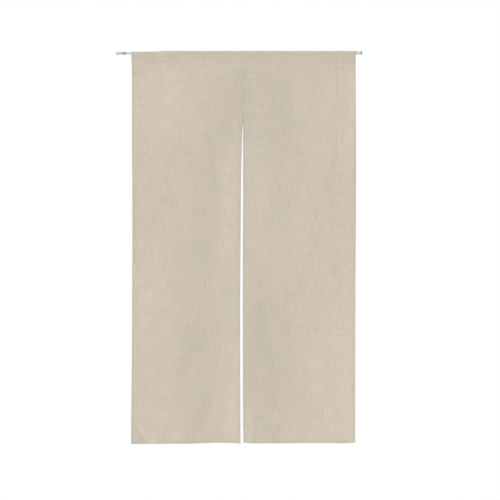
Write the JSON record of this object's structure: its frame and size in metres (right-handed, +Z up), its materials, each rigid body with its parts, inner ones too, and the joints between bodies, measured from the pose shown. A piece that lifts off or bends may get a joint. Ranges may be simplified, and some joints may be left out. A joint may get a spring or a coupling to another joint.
{
  "type": "noren curtain on a tension rod",
  "caption": "Split doorway curtain of plain woven cloth, two hemmed panels sewn together above a long centre slit, on a telescoping tension rod.",
  "frame": {"origin": "on the axis of the rod's thicker tube, half way across the cloth", "axes": "+X to the right as the curtain is looked at, along the rod; +Y away from the viewer; +Z up"},
  "size_m": [0.9332, 0.0165, 1.4891],
  "materials": {
    "linen": "matte plain weave with slubs, slightly sheer, oatmeal beige",
    "tube_paint": "satin off-white paint on a thin steel tube",
    "foot_plastic": "matte light grey moulded foot",
    "grey_rubber": "matte mid-grey rubber"
  },
  "bodies": {
    "root": {"panel_left": "linen", "panel_right": "linen", "rod_outer": "tube_paint", "rod_inner": "tube_paint", "foot_left": "foot_plastic", "collar_left": "grey_rubber", "cap_right": "grey_rubber"}
  },
  "joints": []
}
